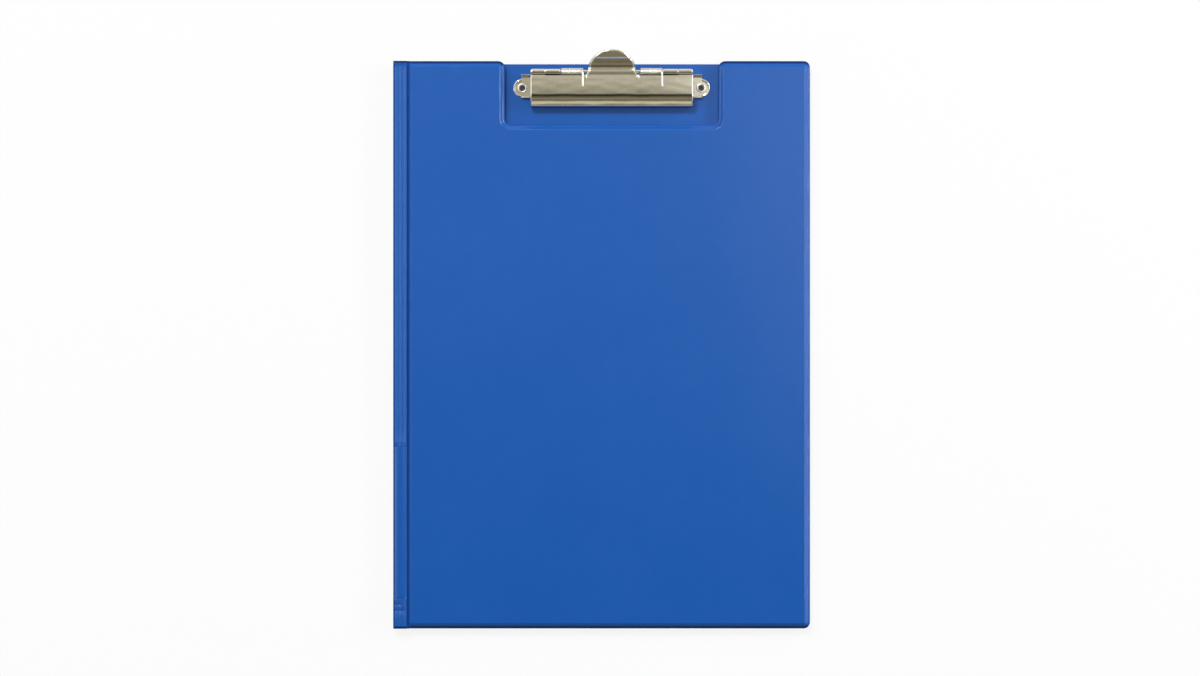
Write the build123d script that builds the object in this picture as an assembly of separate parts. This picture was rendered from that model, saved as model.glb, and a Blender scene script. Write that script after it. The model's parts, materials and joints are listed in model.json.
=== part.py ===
from build123d import *
import os
from math import cos, radians, sin, tan

# Clipboard folder lying closed on its back. X runs from the spine to the opening
# edge, Y towards the clip, Z up. The origin is the middle of the back face. Millimetres.

# Closed folder
folder_width = 235.0
folder_height = 320.0
corner_radius = 3.6
back_top_drop = 1.5  # the back panel is this much shorter at the clip end

# Layers
film = 0.3
board = 2.0
pocket_film = 0.3
paper_gap = 1.7  # room between the closed panels

# Welded edge round each board
weld_width = 0.8
slope_run = 2.4  # film coming down from the board to the weld
slope_foot = 0.3  # height of the foot of the slope above the inner film
least_radius = 0.3

# Spine zone, thin welded film between the boards
spine_zone = 9.3
flange_drop = 0.3  # the thin film lies this far below the panel face
hinge_gap = 0.08
weld_lap = 0.1  # pieces of one body run this far into each other
groove_width = 1.4
groove_depth = 0.9
groove_slope = 0.4  # run of the groove's wall on the spine side
crest_run = 0.95
crest_depth = 1.1
rib_count = 3
rib_pitch = 2.45
rib_first = 1.65  # first rib from the folded edge
rib_width = 1.1
rib_height = 0.2

# Pen sleeve in the spine
sleeve_mouth = 17.0  # open end above the folder's lower edge
sleeve_length = 86.5
sleeve_wall = 0.3
sleeve_clearance = 0.25
sleeve_reach = 6.9
sleeve_corner = 1.2
bulge_margin = 0.3  # from the fold to the bulge
bulge_width = 6.2
bulge_height = 0.2
seam_pitch = 1.4
seam_width = 0.5
slit_width = 0.4
slit_pitch = 2.8
slit_count = 3
slit_length = 5.8
slit_step = 1.0  # each slit is this much shorter than the one above it

# Notch in the cover that lets the clip through
notch_width = 120.3
notch_depth = 35.7
notch_corner = 3.2
notch_mouth_radius = 4.0
clip_offset = 5.7  # middle of clip and notch, from the middle of the folder

# Pocket inside the cover
pocket_low_height = 120.0
pocket_high_height = 205.0
pocket_margin = 3.0

# Clip base, one folded strip
sheet = 0.6
axis_inset = 6.4  # hinge axis below the folder's top edge
axis_height = 7.3  # above the back panel
base_length = 102.2
base_depth = 12.7
base_rear = 1.6  # rear face in front of the hinge axis
ear_radius = 5.05
ear_rim_width = 0.8  # raised along the round end of each ear
ear_rim_height = 0.3
rivet_spacing = 101.0
rivet_setback = 8.6
lip_height = 1.8
rear_wall_height = 3.0

# Hinge
rod_radius = 0.95
rod_clearance = 0.05
rod_head_radius = 1.4
rod_head_length = 0.5
knuckle_gap = 0.15
base_knuckle_inner = 28.9
base_knuckle_outer = 37.4
jaw_knuckle_outer = 45.0
base_curl = 300.0  # degrees that each knuckle wraps round the rod
jaw_curl = 240.0

# Jaw
jaw_half_width = 45.75
jaw_top = 1.8  # above the hinge axis
jaw_rear = 2.2
jaw_front = 19.5
jaw_knee = 3.9  # from the front to where the nose starts to slant down
jaw_slant = 43.0  # degrees
knee_bend = 5.7
nose_bend = 1.6
jaw_clearance = 0.15
hem_radius = 0.6
hem_return = 0.5
side_flange = 2.4
side_flange_start = 3.4
tab_bend = 0.9
tab_offset = 1.9
tab_root = 3.6  # the knuckle strips start this far in front of the hinge axis

# Finger lever, one piece with the jaw
lever_half_width = 15.2
lever_root = 6.6
lever_neck_start = 3.3
lever_round_width = 13.3
lever_round_depth = 10.6
lever_round_centre = 1.0
valley_back = 2.5  # lowest line of the lever, behind and above the hinge axis
valley_rise = 0.75
lever_dip = 0.9
lever_dip_bend = 1.5
valley_bend = 0.8
crease_bend = 4.0
lever_steep_angle = 60.0
lever_steep_length = 9.0
lever_top_angle = 35.0
lever_top_length = 6.2
rim_width = 0.8
rim_height = 1.1

# Torsion springs
wire = 1.0
coil_radius = 1.65
coil_inner_end = 16.0
coil_outer_end = 28.6
coil_whole_turns = 11
coil_start_angle = -40.0
coil_end_angle = 70.0
leg_reach = 8.3
leg_clearance = 0.03
leg_bend = 1.0
leg_foot = 0.6  # the lower leg ends this far above the base plate

# Hollow rivets
eyelet_bore = 1.7
eyelet_barrel = 2.1
eyelet_head = 2.65
eyelet_head_height = 0.6
eyelet_foot = 2.9
eyelet_foot_height = 0.5
eyelet_head_round = 0.35
eyelet_recess = 0.05
eyelet_clearance = 0.05

# Places worked out from the sizes
panel = board + 2 * film
closed_thickness = 2 * panel + pocket_film + paper_gap
left_edge = -folder_width / 2
right_edge = folder_width / 2
top_edge = folder_height / 2
bottom_edge = -folder_height / 2
panel_left = left_edge + spine_zone
inner_level = board + film  # inner film starts here, above the outside face
flange_thickness = 2 * film
fold_x = left_edge + flange_thickness / 2
fold_low = flange_drop + flange_thickness / 2
fold_high = closed_thickness - fold_low
flange_left = fold_x + flange_thickness / 2 + hinge_gap
sleeve_end = bottom_edge + sleeve_mouth
sleeve_start = sleeve_end + sleeve_length
bulge_left = flange_left + bulge_margin
notch_left = clip_offset - notch_width / 2
notch_right = clip_offset + notch_width / 2
notch_bottom = top_edge - notch_depth
axis_y = top_edge - axis_inset
axis_z = panel + axis_height
rivet_y = axis_y - rivet_setback
knuckle_middle = rod_radius + rod_clearance + sheet / 2
jaw_level = jaw_top - sheet / 2
hinge_plane = Plane((clip_offset, axis_y, axis_z), x_dir=(0, 1, 0), z_dir=(1, 0, 0))


def panel_outline(inset, left, top, notched):
    # Panel outline drawn in by the inset on every side but the spine side.
    right = right_edge - inset
    low = bottom_edge + inset
    high = top - inset
    outer = max(corner_radius - inset, least_radius)
    if notched:
        mouth = max(notch_mouth_radius - inset, least_radius)
        inner = notch_corner + inset
        near = notch_left - inset
        far = notch_right + inset
        floor = notch_bottom - inset
        points = [(left, low), (right, low), (right, high), (far, high), (far, floor),
                  (near, floor), (near, high), (left, high)]
        radii = [0, outer, outer, mouth, inner, inner, mouth, 0]
    else:
        points = [(left, low), (right, low), (right, high), (left, high)]
        radii = [0, outer, outer, 0]
    return make_face(FilletPolyline(*points, radius=radii, close=True))


def panel_plate(inset, left, top, notched, level, thickness):
    return Pos(0, 0, level) * extrude(panel_outline(inset, left, top, notched), thickness)


def segment_bar(start, chord, height, low, high):
    # Bar with a shallow round back that stands out of the outside face, from Y low to high.
    arc = SagittaArc((start, flange_drop), (start + chord, flange_drop), -height)
    face = make_face([arc, Line(arc @ 1, arc @ 0)])
    return extrude(Plane.XZ.offset(-low) * face, -(high - low))


def spine_flange(top):
    # Thin welded film beside the panel, with its fold groove, ribs and pen bulge.
    deep = flange_drop + groove_depth
    groove_left = panel_left - groove_width
    section = Polyline(
        (flange_left, flange_drop),
        (groove_left - groove_slope, flange_drop),
        (groove_left, deep),
        (panel_left + weld_lap, deep),
        (panel_left + weld_lap, deep + film),
        (groove_left, deep + film),
        (groove_left - film, flange_drop + flange_thickness),
        (flange_left, flange_drop + flange_thickness),
        close=True,
    )
    body = extrude(Plane.XZ.offset(-bottom_edge) * make_face(section), -(top - bottom_edge))
    for index in range(rib_count):
        start = left_edge + rib_first + index * rib_pitch - rib_width / 2
        body += segment_bar(start, rib_width, rib_height, sleeve_start, top)
        body += segment_bar(start, rib_width, rib_height, bottom_edge, sleeve_end)
    body += segment_bar(bulge_left, bulge_width, bulge_height, sleeve_end, sleeve_start)
    return body


def seam_bars():
    # Two weld lines across the spine that close the top of the pen sleeve.
    bars = []
    for index in range(2):
        middle = sleeve_start + index * seam_pitch
        bar = Box(bulge_width, seam_width, rib_height + film, align=(Align.MIN, Align.CENTER, Align.MIN))
        bars.append(Pos(bulge_left, middle, flange_drop - rib_height) * bar)
    return bars


def mouth_slits():
    # Short cuts in the face of the spine at the open end of the pen sleeve.
    slits = []
    for index in range(slit_count):
        length = slit_length - index * slit_step
        slit = Box(length, slit_width, film, align=(Align.MIN, Align.CENTER, Align.MIN))
        slits.append(Pos(flange_left, sleeve_end - index * slit_pitch, flange_drop) * slit)
    return slits


def outer_film(top, notched):
    # Film that wraps the outside of one panel, drawn with its outside face down at Z 0.
    foot = inner_level - slope_foot
    upper = Pos(0, 0, foot) * panel_outline(weld_width, panel_left, top, notched)
    lower = panel_outline(weld_width + slope_run, panel_left, top, notched)
    pad = loft([lower, upper], ruled=True)
    crest = pad.edges().filter_by(Axis.Y).sort_by(Axis.X)[:2].sort_by(Axis.Z)[0]
    pad = chamfer(crest, length=crest_depth, length2=crest_run, reference=pad.faces().sort_by(Axis.X)[0])
    border = panel_plate(0, panel_left, top, notched, foot, slope_foot)
    return pad + border + spine_flange(top) - board_plate(top, notched)


def board_plate(top, notched):
    left = panel_left + crest_run + film
    return panel_plate(weld_width + slope_run, left, top, notched, film, board)


def inner_film(top, notched):
    return panel_plate(0, panel_left, top, notched, inner_level, film)


def turned_over(part):
    # Move a piece drawn outside face down to the cover, where the outside face is up.
    return Pos(0, 0, closed_thickness) * mirror(part, Plane.XY)


def rivet_holes(radius, low, high):
    hole = Cylinder(radius, high - low, align=(Align.CENTER, Align.CENTER, Align.MIN))
    side = rivet_spacing / 2
    return [Pos(clip_offset + x, rivet_y, low) * hole for x in (-side, side)]


def cover_pocket():
    # Slanted pocket welded inside the cover along its left, lower and right edges.
    left = panel_left + pocket_margin
    right = right_edge - pocket_margin
    low = bottom_edge + pocket_margin
    outline = Polyline(
        (left, low),
        (right, low),
        (right, low + pocket_high_height),
        (left, low + pocket_low_height),
        close=True,
    )
    return Pos(0, 0, panel) * extrude(make_face(outline), pocket_film)


def spine_film():
    # Upright strip between the two folds, round at both fold lines.
    line = Line((fold_x, fold_low), (fold_x, fold_high))
    half = flange_thickness / 2
    section = make_face(offset(line, half, closed=True))
    return extrude(Plane.XZ.offset(-bottom_edge) * section, -folder_height)


def pen_sleeve():
    # Film tunnel on the inner face of the spine strip, closed at its upper end.
    face_x = left_edge + flange_thickness
    low = flange_drop + flange_thickness + sleeve_clearance
    high = closed_thickness - low
    right = face_x + sleeve_reach
    wall = sleeve_wall
    outer = make_face(FilletPolyline((face_x, low), (right, low), (right, high), (face_x, high),
                                     radius=[0, sleeve_corner, sleeve_corner, 0], close=True))
    inner = make_face(FilletPolyline((face_x, low + wall), (right - wall, low + wall),
                                     (right - wall, high - wall), (face_x, high - wall),
                                     radius=[0, sleeve_corner - wall, sleeve_corner - wall, 0],
                                     close=True))
    tunnel = extrude(Plane.XZ.offset(-sleeve_end) * (outer - inner), -sleeve_length)
    end_wall = extrude(Plane.XZ.offset(-(sleeve_start - wall)) * outer, -wall)
    return tunnel + end_wall


def across(profile, start, end):
    # Push a profile drawn in the hinge plane along the hinge, between two stations.
    return extrude(hinge_plane.offset(start) * profile, end - start)


def both_sides(profile, inner, outer):
    return across(profile, inner, outer) + across(profile, -outer, -inner)


def folded_strip(path, half_thickness=sheet / 2):
    # Section of a folded strip with round edges, from its middle line.
    return make_face(offset(path, half_thickness, closed=True))


def polar(radius, angle):
    return (radius * cos(radians(angle)), radius * sin(radians(angle)))


def clip_base():
    # Base plate with round ears, front lip, rear wall and two rolled knuckles.
    front = -(base_rear + base_depth)
    rear = -base_rear
    half = base_length / 2
    plate = Pos(0, (front + rear) / 2) * Rectangle(base_length, base_depth)
    ring = Circle(ear_radius) - Circle(ear_radius - ear_rim_width)
    rims = []
    for side in (-1, 1):
        centre = Pos(side * rivet_spacing / 2, -rivet_setback)
        plate += centre * Circle(ear_radius)
        outer_half = Pos(side * ear_radius / 2, 0) * Rectangle(ear_radius, 2 * ear_radius)
        rims.append(extrude(centre * (ring & outer_half), ear_rim_height + weld_lap))
    body = Pos(clip_offset, axis_y, panel) * extrude(plate, sheet)
    for rim in rims:
        body += Pos(clip_offset, axis_y, panel + sheet - weld_lap) * rim
    floor = -axis_height + sheet / 2
    lip_top = -axis_height + lip_height - sheet / 2
    wall_top = -axis_height + rear_wall_height - sheet / 2
    front_line = front + sheet / 2
    lip = folded_strip(Line((front_line, floor), (front_line, lip_top)))
    rear_line = -knuckle_middle
    low_wall = folded_strip(Line((rear_line, floor), (rear_line, wall_top)))
    end_wall = folded_strip(Line((rear_line, floor), (rear_line, lip_top)))
    stem = Line((rear_line, floor), (rear_line, 0))
    curl = CenterArc((0, 0), knuckle_middle, 180, -base_curl)
    knuckle = folded_strip(Wire([stem, curl]))
    body += across(lip, -half, half)
    body += across(low_wall, -jaw_knuckle_outer, jaw_knuckle_outer)
    body += both_sides(end_wall, jaw_knuckle_outer, half)
    body += both_sides(knuckle, base_knuckle_inner, base_knuckle_outer)
    for hole in rivet_holes(eyelet_barrel + eyelet_clearance, panel - sheet, panel + 2 * sheet):
        body -= hole
    return body


def jaw_corners(depth):
    # Corners of the jaw's nose seen from the side, at a depth below its outer face.
    level = jaw_top - depth
    front = -(jaw_front - depth)
    knee = -(jaw_front - jaw_knee) + depth * tan(radians(jaw_slant / 2))
    drop = (knee - front) * tan(radians(jaw_slant))
    return (knee, level), (front, level - drop)


def clip_jaw():
    # Jaw plate, rolled knuckles, side flanges and finger lever pressed from one sheet.
    middle = sheet / 2
    knee, nose = jaw_corners(middle)
    front = nose[0]
    hem_level = -axis_height + jaw_clearance + middle + hem_radius
    bends = (knee_bend - middle, nose_bend - middle)
    face = FilletPolyline((-jaw_rear - middle, jaw_level), knee, nose, (front, hem_level), radius=bends)
    inside = front + 2 * hem_radius
    hem = CenterArc((front + hem_radius, hem_level), hem_radius, 180, 180)
    turned_up = Line((inside, hem_level), (inside, hem_level + hem_return))
    body = folded_strip(Wire([*face.edges(), hem, turned_up]))
    body = across(body, -jaw_half_width + middle, jaw_half_width - middle)

    half_flange = side_flange / 2
    knee, nose = jaw_corners(half_flange)
    flange_end = ((knee[0] + 3 * nose[0]) / 4, (knee[1] + 3 * nose[1]) / 4)
    flange_start = (-side_flange_start - half_flange, knee[1])
    flange_path = FilletPolyline(flange_start, knee, flange_end, radius=knee_bend - half_flange)
    flange = folded_strip(flange_path, half_flange)
    body += both_sides(flange, jaw_half_width - sheet, jaw_half_width)

    drop = jaw_level - tab_bend
    swing = tab_offset - tab_bend
    tab = [
        Line((-tab_root, jaw_level), (-tab_offset - tab_bend, jaw_level)),
        CenterArc((-tab_offset - tab_bend, drop), tab_bend, 90, -90),
        Line((-tab_offset, drop), (-tab_offset, swing - knuckle_middle)),
        CenterArc((-tab_offset + swing, swing - knuckle_middle), swing, 180, 90),
        Line((-tab_offset + swing, -knuckle_middle), (0, -knuckle_middle)),
        CenterArc((0, 0), knuckle_middle, -90, jaw_curl),
    ]
    body += both_sides(folded_strip(Wire(tab)), base_knuckle_outer + knuckle_gap, jaw_knuckle_outer)
    return body + finger_lever()


def finger_lever():
    # Lever that runs over the hinge, dips behind it and rises, with a raised rim.
    steep = polar(lever_steep_length, lever_steep_angle)
    flat = polar(lever_top_length, lever_top_angle)
    valley = (valley_back, valley_rise)
    crease = (valley_back + steep[0], valley_rise + steep[1])
    tip = (crease[0] + flat[0], crease[1] + flat[1])
    corners = [(lever_dip, jaw_level), valley, crease, tip]
    bends = (lever_dip_bend, valley_bend, crease_bend)
    path = FilletPolyline((-lever_root, jaw_level), *corners, radius=bends)
    plate = across(folded_strip(path), -lever_half_width, lever_half_width)
    lift = sheet / 2 + rim_height
    rail = Polyline((-lever_neck_start, jaw_level), *corners)
    edge = offset(rail, lift, kind=Kind.INTERSECTION, side=Side.LEFT, closed=True)
    band = across(make_face(edge), -lever_half_width, lever_half_width)
    outside = upright_prism(lever_outline(0))
    inside = upright_prism(lever_outline(rim_width))
    return plate & outside + (band & (outside - inside))


def lever_outline(inset):
    # Lever seen from above, relative to the clip's middle and hinge axis.
    wide = lever_half_width - inset
    round_width = lever_round_width - inset
    round_depth = lever_round_depth - inset
    neck = -lever_neck_start
    centre = (0, lever_round_centre)
    tip = EllipticalCenterArc(centre, round_width, round_depth, start_angle=0, arc_size=180)
    right = Spline((wide, neck), tip @ 0, tangents=((0, 1), (0, 1)))
    left = Spline(tip @ 1, (-wide, neck), tangents=((0, -1), (0, -1)))
    base = Polyline((-wide, neck), (-wide, -lever_root), (wide, -lever_root), (wide, neck))
    return make_face([tip, left, base, right])


def upright_prism(outline):
    # Prism on an outline drawn from above, from the back panel to well over the lever.
    height = axis_height + lever_steep_length + lever_top_length
    return Pos(clip_offset, axis_y, panel) * extrude(outline, height)


def hinge_rod():
    # Long rod through all knuckles, riveted over at both ends.
    profile = Circle(rod_radius)
    head = Circle(rod_head_radius)
    end = jaw_knuckle_outer + knuckle_gap
    return across(profile, -end, end) + both_sides(head, end, end + rod_head_length)


def torsion_spring(start):
    # Close-wound spring on the rod, one leg behind the base wall and one on the jaw.
    first = start + wire / 2
    rise = coil_outer_end - coil_inner_end - wire
    turns = coil_whole_turns + (coil_end_angle - coil_start_angle) / 360
    middle = Plane((first, 0, 0), x_dir=(0, *polar(1, coil_start_angle)), z_dir=(1, 0, 0))
    coil = middle * Helix(rise / turns, rise, coil_radius)
    leave, onward = coil @ 1, coil % 1
    join, along = coil @ 0, coil % 0
    rest_level = jaw_top + wire / 2 + leg_clearance
    touch = leave + onward * ((rest_level - leave.Z) / onward.Z)
    jaw_leg = FilletPolyline(leave, touch, (touch.X, -leg_reach, rest_level), radius=leg_bend)
    wall_face = -knuckle_middle + sheet / 2 + wire / 2 + leg_clearance
    bend = join - along * ((join.Y - wall_face) / along.Y)
    foot = (bend.X, wall_face, -axis_height + sheet + leg_foot)
    base_leg = FilletPolyline(foot, bend, join, radius=leg_bend)
    path = Wire(base_leg.edges() + coil.edges() + jaw_leg.edges())
    spring = sweep(Plane(path @ 0, z_dir=path % 0) * Circle(wire / 2), path=path)
    return Pos(clip_offset, axis_y, axis_z) * spring


def eyelet(side):
    # Hollow rivet that holds one end of the base, its rolled foot sunk in the back.
    low = eyelet_recess
    high = panel + sheet + eyelet_head_height
    points = [
        (eyelet_bore, low),
        (eyelet_foot, low),
        (eyelet_foot, low + eyelet_foot_height),
        (eyelet_barrel, low + eyelet_foot_height),
        (eyelet_barrel, panel + sheet),
        (eyelet_head, panel + sheet),
        (eyelet_head, high),
        (eyelet_bore, high),
    ]
    rounds = [0, 0, 0, 0, 0, 0, eyelet_head_round, 0]
    profile = make_face(FilletPolyline(*points, radius=rounds, close=True))
    rivet = revolve(Plane.XZ * profile, Axis.Z)
    return Pos(clip_offset + side * rivet_spacing / 2, rivet_y, 0) * rivet


def build():
    back_top = top_edge - back_top_drop
    foot_pocket = rivet_holes(eyelet_foot + eyelet_clearance, -film, eyelet_recess + eyelet_foot_height)
    shank = rivet_holes(eyelet_barrel + eyelet_clearance, -film, 2 * panel)
    cover_film = outer_film(top_edge, True) + seam_bars() - mouth_slits()
    return {
        "back_outer_film": outer_film(back_top, False) - foot_pocket,
        "back_board": board_plate(back_top, False) - shank - foot_pocket,
        "back_inner_film": inner_film(back_top, False) - shank,
        "spine_film": spine_film(),
        "pen_sleeve": pen_sleeve(),
        "cover_outer_film": turned_over(cover_film),
        "cover_board": turned_over(board_plate(top_edge, True)),
        "cover_inner_film": turned_over(inner_film(top_edge, True)),
        "cover_pocket": turned_over(cover_pocket()),
        "clip_base": clip_base(),
        "clip_jaw": clip_jaw(),
        "hinge_rod": hinge_rod(),
        "left_spring": torsion_spring(-coil_outer_end),
        "right_spring": torsion_spring(coil_inner_end),
        "left_eyelet": eyelet(-1),
        "right_eyelet": eyelet(1),
    }


os.makedirs("parts", exist_ok=True)
for name, piece in build().items():
    export_step(piece, f"parts/{name}.step")
    print(name, round(piece.volume, 1), len(piece.solids()))
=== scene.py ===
import json
import math

import bmesh
import bpy
import numpy as np
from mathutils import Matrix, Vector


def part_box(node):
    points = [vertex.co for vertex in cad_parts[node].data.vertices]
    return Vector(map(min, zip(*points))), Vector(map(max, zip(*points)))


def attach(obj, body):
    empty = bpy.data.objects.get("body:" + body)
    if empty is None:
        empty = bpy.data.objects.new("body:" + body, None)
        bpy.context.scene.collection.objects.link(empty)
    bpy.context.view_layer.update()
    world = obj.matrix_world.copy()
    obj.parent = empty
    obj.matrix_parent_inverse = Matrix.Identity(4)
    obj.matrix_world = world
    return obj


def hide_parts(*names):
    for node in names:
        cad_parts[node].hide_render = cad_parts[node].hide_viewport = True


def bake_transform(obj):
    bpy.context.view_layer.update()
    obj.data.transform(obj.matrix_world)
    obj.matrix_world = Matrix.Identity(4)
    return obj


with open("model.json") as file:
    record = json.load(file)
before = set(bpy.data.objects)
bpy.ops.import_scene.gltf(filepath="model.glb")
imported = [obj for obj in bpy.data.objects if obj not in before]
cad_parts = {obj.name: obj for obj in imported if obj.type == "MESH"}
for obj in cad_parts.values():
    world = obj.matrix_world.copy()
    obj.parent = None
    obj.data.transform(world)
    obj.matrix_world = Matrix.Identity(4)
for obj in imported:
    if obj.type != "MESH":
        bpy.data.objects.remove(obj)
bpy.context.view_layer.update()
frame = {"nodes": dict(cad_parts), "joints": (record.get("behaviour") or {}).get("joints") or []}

# A fold-over clipboard folder lying closed on its back, seen from straight above.
# Shapes are worked out in millimetres and put into the meshes in metres.
mm = 0.001
scene = bpy.context.scene
jointPlace = {joint["name"]: np.array(joint["pos_m"]) / mm for joint in frame["joints"]}
backHigh = np.array(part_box("back_outer_film")[1]) / mm
coverLow, coverHigh = (np.array(corner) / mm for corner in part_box("cover_outer_film"))
print("frame loaded:", len(frame["nodes"]), "nodes")


# Curves and grids

def smoothStep(value, start=0, length=1):
    # 0 up to the start, 1 from the length after it, and 3t^2 - 2t^3 between them.
    t = np.clip((value - start) / length, 0, 1)
    return t * t * (3 - 2 * t)


def bump(value, centre, width):
    # Round ridge: cos squared over the width, 0 outside it.
    t = np.clip(np.abs(value - centre) / width, 0, 0.5)
    return np.cos(math.pi * t) ** 2


def arc(centre, radius, startAngle, endAngle, steps):
    # Points of a circle between two angles in degrees.
    angle = np.radians(np.linspace(startAngle, endAngle, steps + 1))
    return np.column_stack([centre[0] + radius * np.cos(angle), centre[1] + radius * np.sin(angle)])


def unit(vectors):
    return vectors / np.linalg.norm(vectors, axis=-1, keepdims=True)


def run(start, end, step=0.8):
    # Evenly spaced points of a straight line.
    start = np.array(start, float)
    end = np.array(end, float)
    count = max(1, math.ceil(np.linalg.norm(end - start) / step))
    return start + (end - start) * np.linspace(0, 1, count + 1)[:, None]


def joined(*parts):
    # One line from several, without the points that two of them share.
    points = np.vstack(parts)
    apart = np.linalg.norm(np.diff(points, axis=0), axis=1) > 1e-5
    return points[np.concatenate([[True], apart])]


def bentLine(corners, radii, arcSteps=6, step=0.8):
    # Straight runs joined by tangent arcs: a corner is cut back by its radius times the
    # tangent of half its turn, and the arc's centre lies one radius to the inner side.
    corners = np.array(corners, float)
    parts = []
    last = corners[0]
    for index, radius in enumerate(radii, start=1):
        before = unit(corners[index] - corners[index - 1])
        after = unit(corners[index + 1] - corners[index])
        turn = math.atan2(before[0] * after[1] - before[1] * after[0], before @ after)
        cut = radius * math.tan(abs(turn) / 2)
        side = math.copysign(1, turn)
        begin = corners[index] - before * cut
        centre = begin + radius * side * np.array([-before[1], before[0]])
        first = math.degrees(math.atan2(*(begin - centre)[::-1]))
        parts += [run(last, begin, step), arc(centre, radius, first, first + math.degrees(turn), arcSteps)]
        last = corners[index] + after * cut
    return joined(*parts, run(last, corners[-1], step))


def leftNormals(line):
    # Unit normals to the left of the direction of travel.
    along = unit(np.gradient(line, axis=0))
    return np.column_stack([-along[:, 1], along[:, 0]])


def stations(marks, step):
    # Sorted marks without near doubles, and even steps between those that lie far apart.
    marks = np.unique(np.round(marks, 3))
    marks = marks[np.concatenate([[True], np.diff(marks) > 0.015])]
    parts = [run([a], [b], step)[:-1, 0] for a, b in zip(marks[:-1], marks[1:])]
    return np.concatenate(parts + [marks[-1:]])


def quadsOf(index):
    # The four corners of each cell of a grid of point numbers.
    return np.stack([index[:-1, :-1], index[:-1, 1:], index[1:, 1:], index[1:, :-1]], axis=-1)


def tubeFaces(rings, sides):
    # Quads of rings that close on themselves, with a face over each end.
    index = np.arange(rings * sides).reshape(rings, sides)
    quads = quadsOf(np.column_stack([index, index[:, 0]]))
    return quads.reshape(-1, 4).tolist() + [index[0, ::-1].tolist(), index[-1].tolist()]


def shell(outside, inside, keep=None, seamRows=()):
    # Points and faces of a sheet between two like grids of points, with rims that join their
    # open edges. A grid that closes on itself along some rows has no rim there.
    rows, columns = outside.shape[:2]
    if keep is None:
        keep = np.ones((rows - 1, columns - 1), bool)
    total = rows * columns
    index = np.arange(total).reshape(rows, columns)
    quads = quadsOf(index)[keep]
    faces = [quads, quads[:, ::-1] + total]
    padded = np.pad(keep, 1)
    alongRows = padded[:-1, 1:-1] != padded[1:, 1:-1]
    alongRows[list(seamRows)] = False
    acrossRows = padded[1:-1, :-1] != padded[1:-1, 1:]
    for a, b in ((index[:, :-1][alongRows], index[:, 1:][alongRows]),
                 (index[:-1, :][acrossRows], index[1:, :][acrossRows])):
        faces.append(np.column_stack([a, b, b + total, a + total]))
    return np.vstack([outside.reshape(-1, 3), inside.reshape(-1, 3)]), np.vstack(faces).tolist()


def raised(line, across, height):
    # Grid of a line in the YZ plane moved out along its normals, at each place across in X.
    lifted = line[:, None, :] + leftNormals(line)[:, None, :] * height[..., None]
    x = np.broadcast_to(across[:, None], lifted.shape[:2] + (1,))
    return np.concatenate([x, lifted], axis=2)


def strip(line, low, high, thick, edge=0.12):
    # Folded strip of even thickness on a line in the YZ plane, carried along X, with small
    # rounds at its two end faces: the section narrows over the last stretch of X.
    across = np.array([low, low + edge, low + 2 * edge, high - 2 * edge, high - edge, high])
    height = (thick / 2 - edge * np.array([1, 0, 0, 0, 0, 1]))[None, :]
    return shell(raised(line, across, height), raised(line, across, -height))


def prism(outline, low, high, edge=0.12):
    # Closed outline in the YZ plane carried along X, a little smaller at both ends.
    middle = outline.mean(axis=0)
    rings = []
    ends = (low, low + edge, low + 2 * edge, high - 2 * edge, high - edge, high)
    for x, share in zip(ends, (0.9, 1, 1, 1, 1, 0.9)):
        ring = middle + (outline - middle) * share
        rings.append(np.column_stack([np.full(len(ring), x), ring]))
    return np.vstack(rings), tubeFaces(len(rings), len(outline))


def lathe(profile, steps, axis):
    # A closed outline of distance from the axis and place along it, turned about the axis.
    angle = np.linspace(0, 2 * math.pi, steps, endpoint=False)[:, None]
    away, along = profile[:, 0][None, :], profile[:, 1][None, :]
    first, second = away * np.cos(angle), away * np.sin(angle)
    along = np.broadcast_to(along, first.shape)
    order = {"x": (along, first, second), "z": (first, second, along)}[axis]
    index = np.arange(first.size).reshape(first.shape)
    index = np.vstack([index, index[:1]])
    quads = quadsOf(np.column_stack([index, index[:, 0]]))
    return np.stack(order, axis=-1).reshape(-1, 3), quads.reshape(-1, 4).tolist()


def tube(route, radius, sides):
    # Round section on a route that never runs along X: rings stand across the tangent, with
    # one axis as near to X as that allows. Both ends are drawn in to a small flat.
    along = unit(np.gradient(route, axis=0))
    first = unit(np.array([1.0, 0, 0]) - along * along[:, :1])
    second = np.cross(along, first)
    angle = np.linspace(0, 2 * math.pi, sides, endpoint=False)[None, :, None]
    size = np.full((len(route), 1, 1), radius)
    size[[0, -1]] = radius * 0.7
    ring = first[:, None, :] * np.cos(angle) + second[:, None, :] * np.sin(angle)
    return (route[:, None, :] + size * ring).reshape(-1, 3), tubeFaces(len(route), sides)


def together(parts):
    # Several sets of points and faces as one.
    points, faces, count = [], [], 0
    for somePoints, someFaces in parts:
        points.append(somePoints)
        faces += [[corner + count for corner in face] for face in someFaces]
        count += len(somePoints)
    return np.vstack(points), faces


def addObject(name, data):
    thing = bpy.data.objects.new(name, data)
    scene.collection.objects.link(thing)
    return thing


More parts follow.
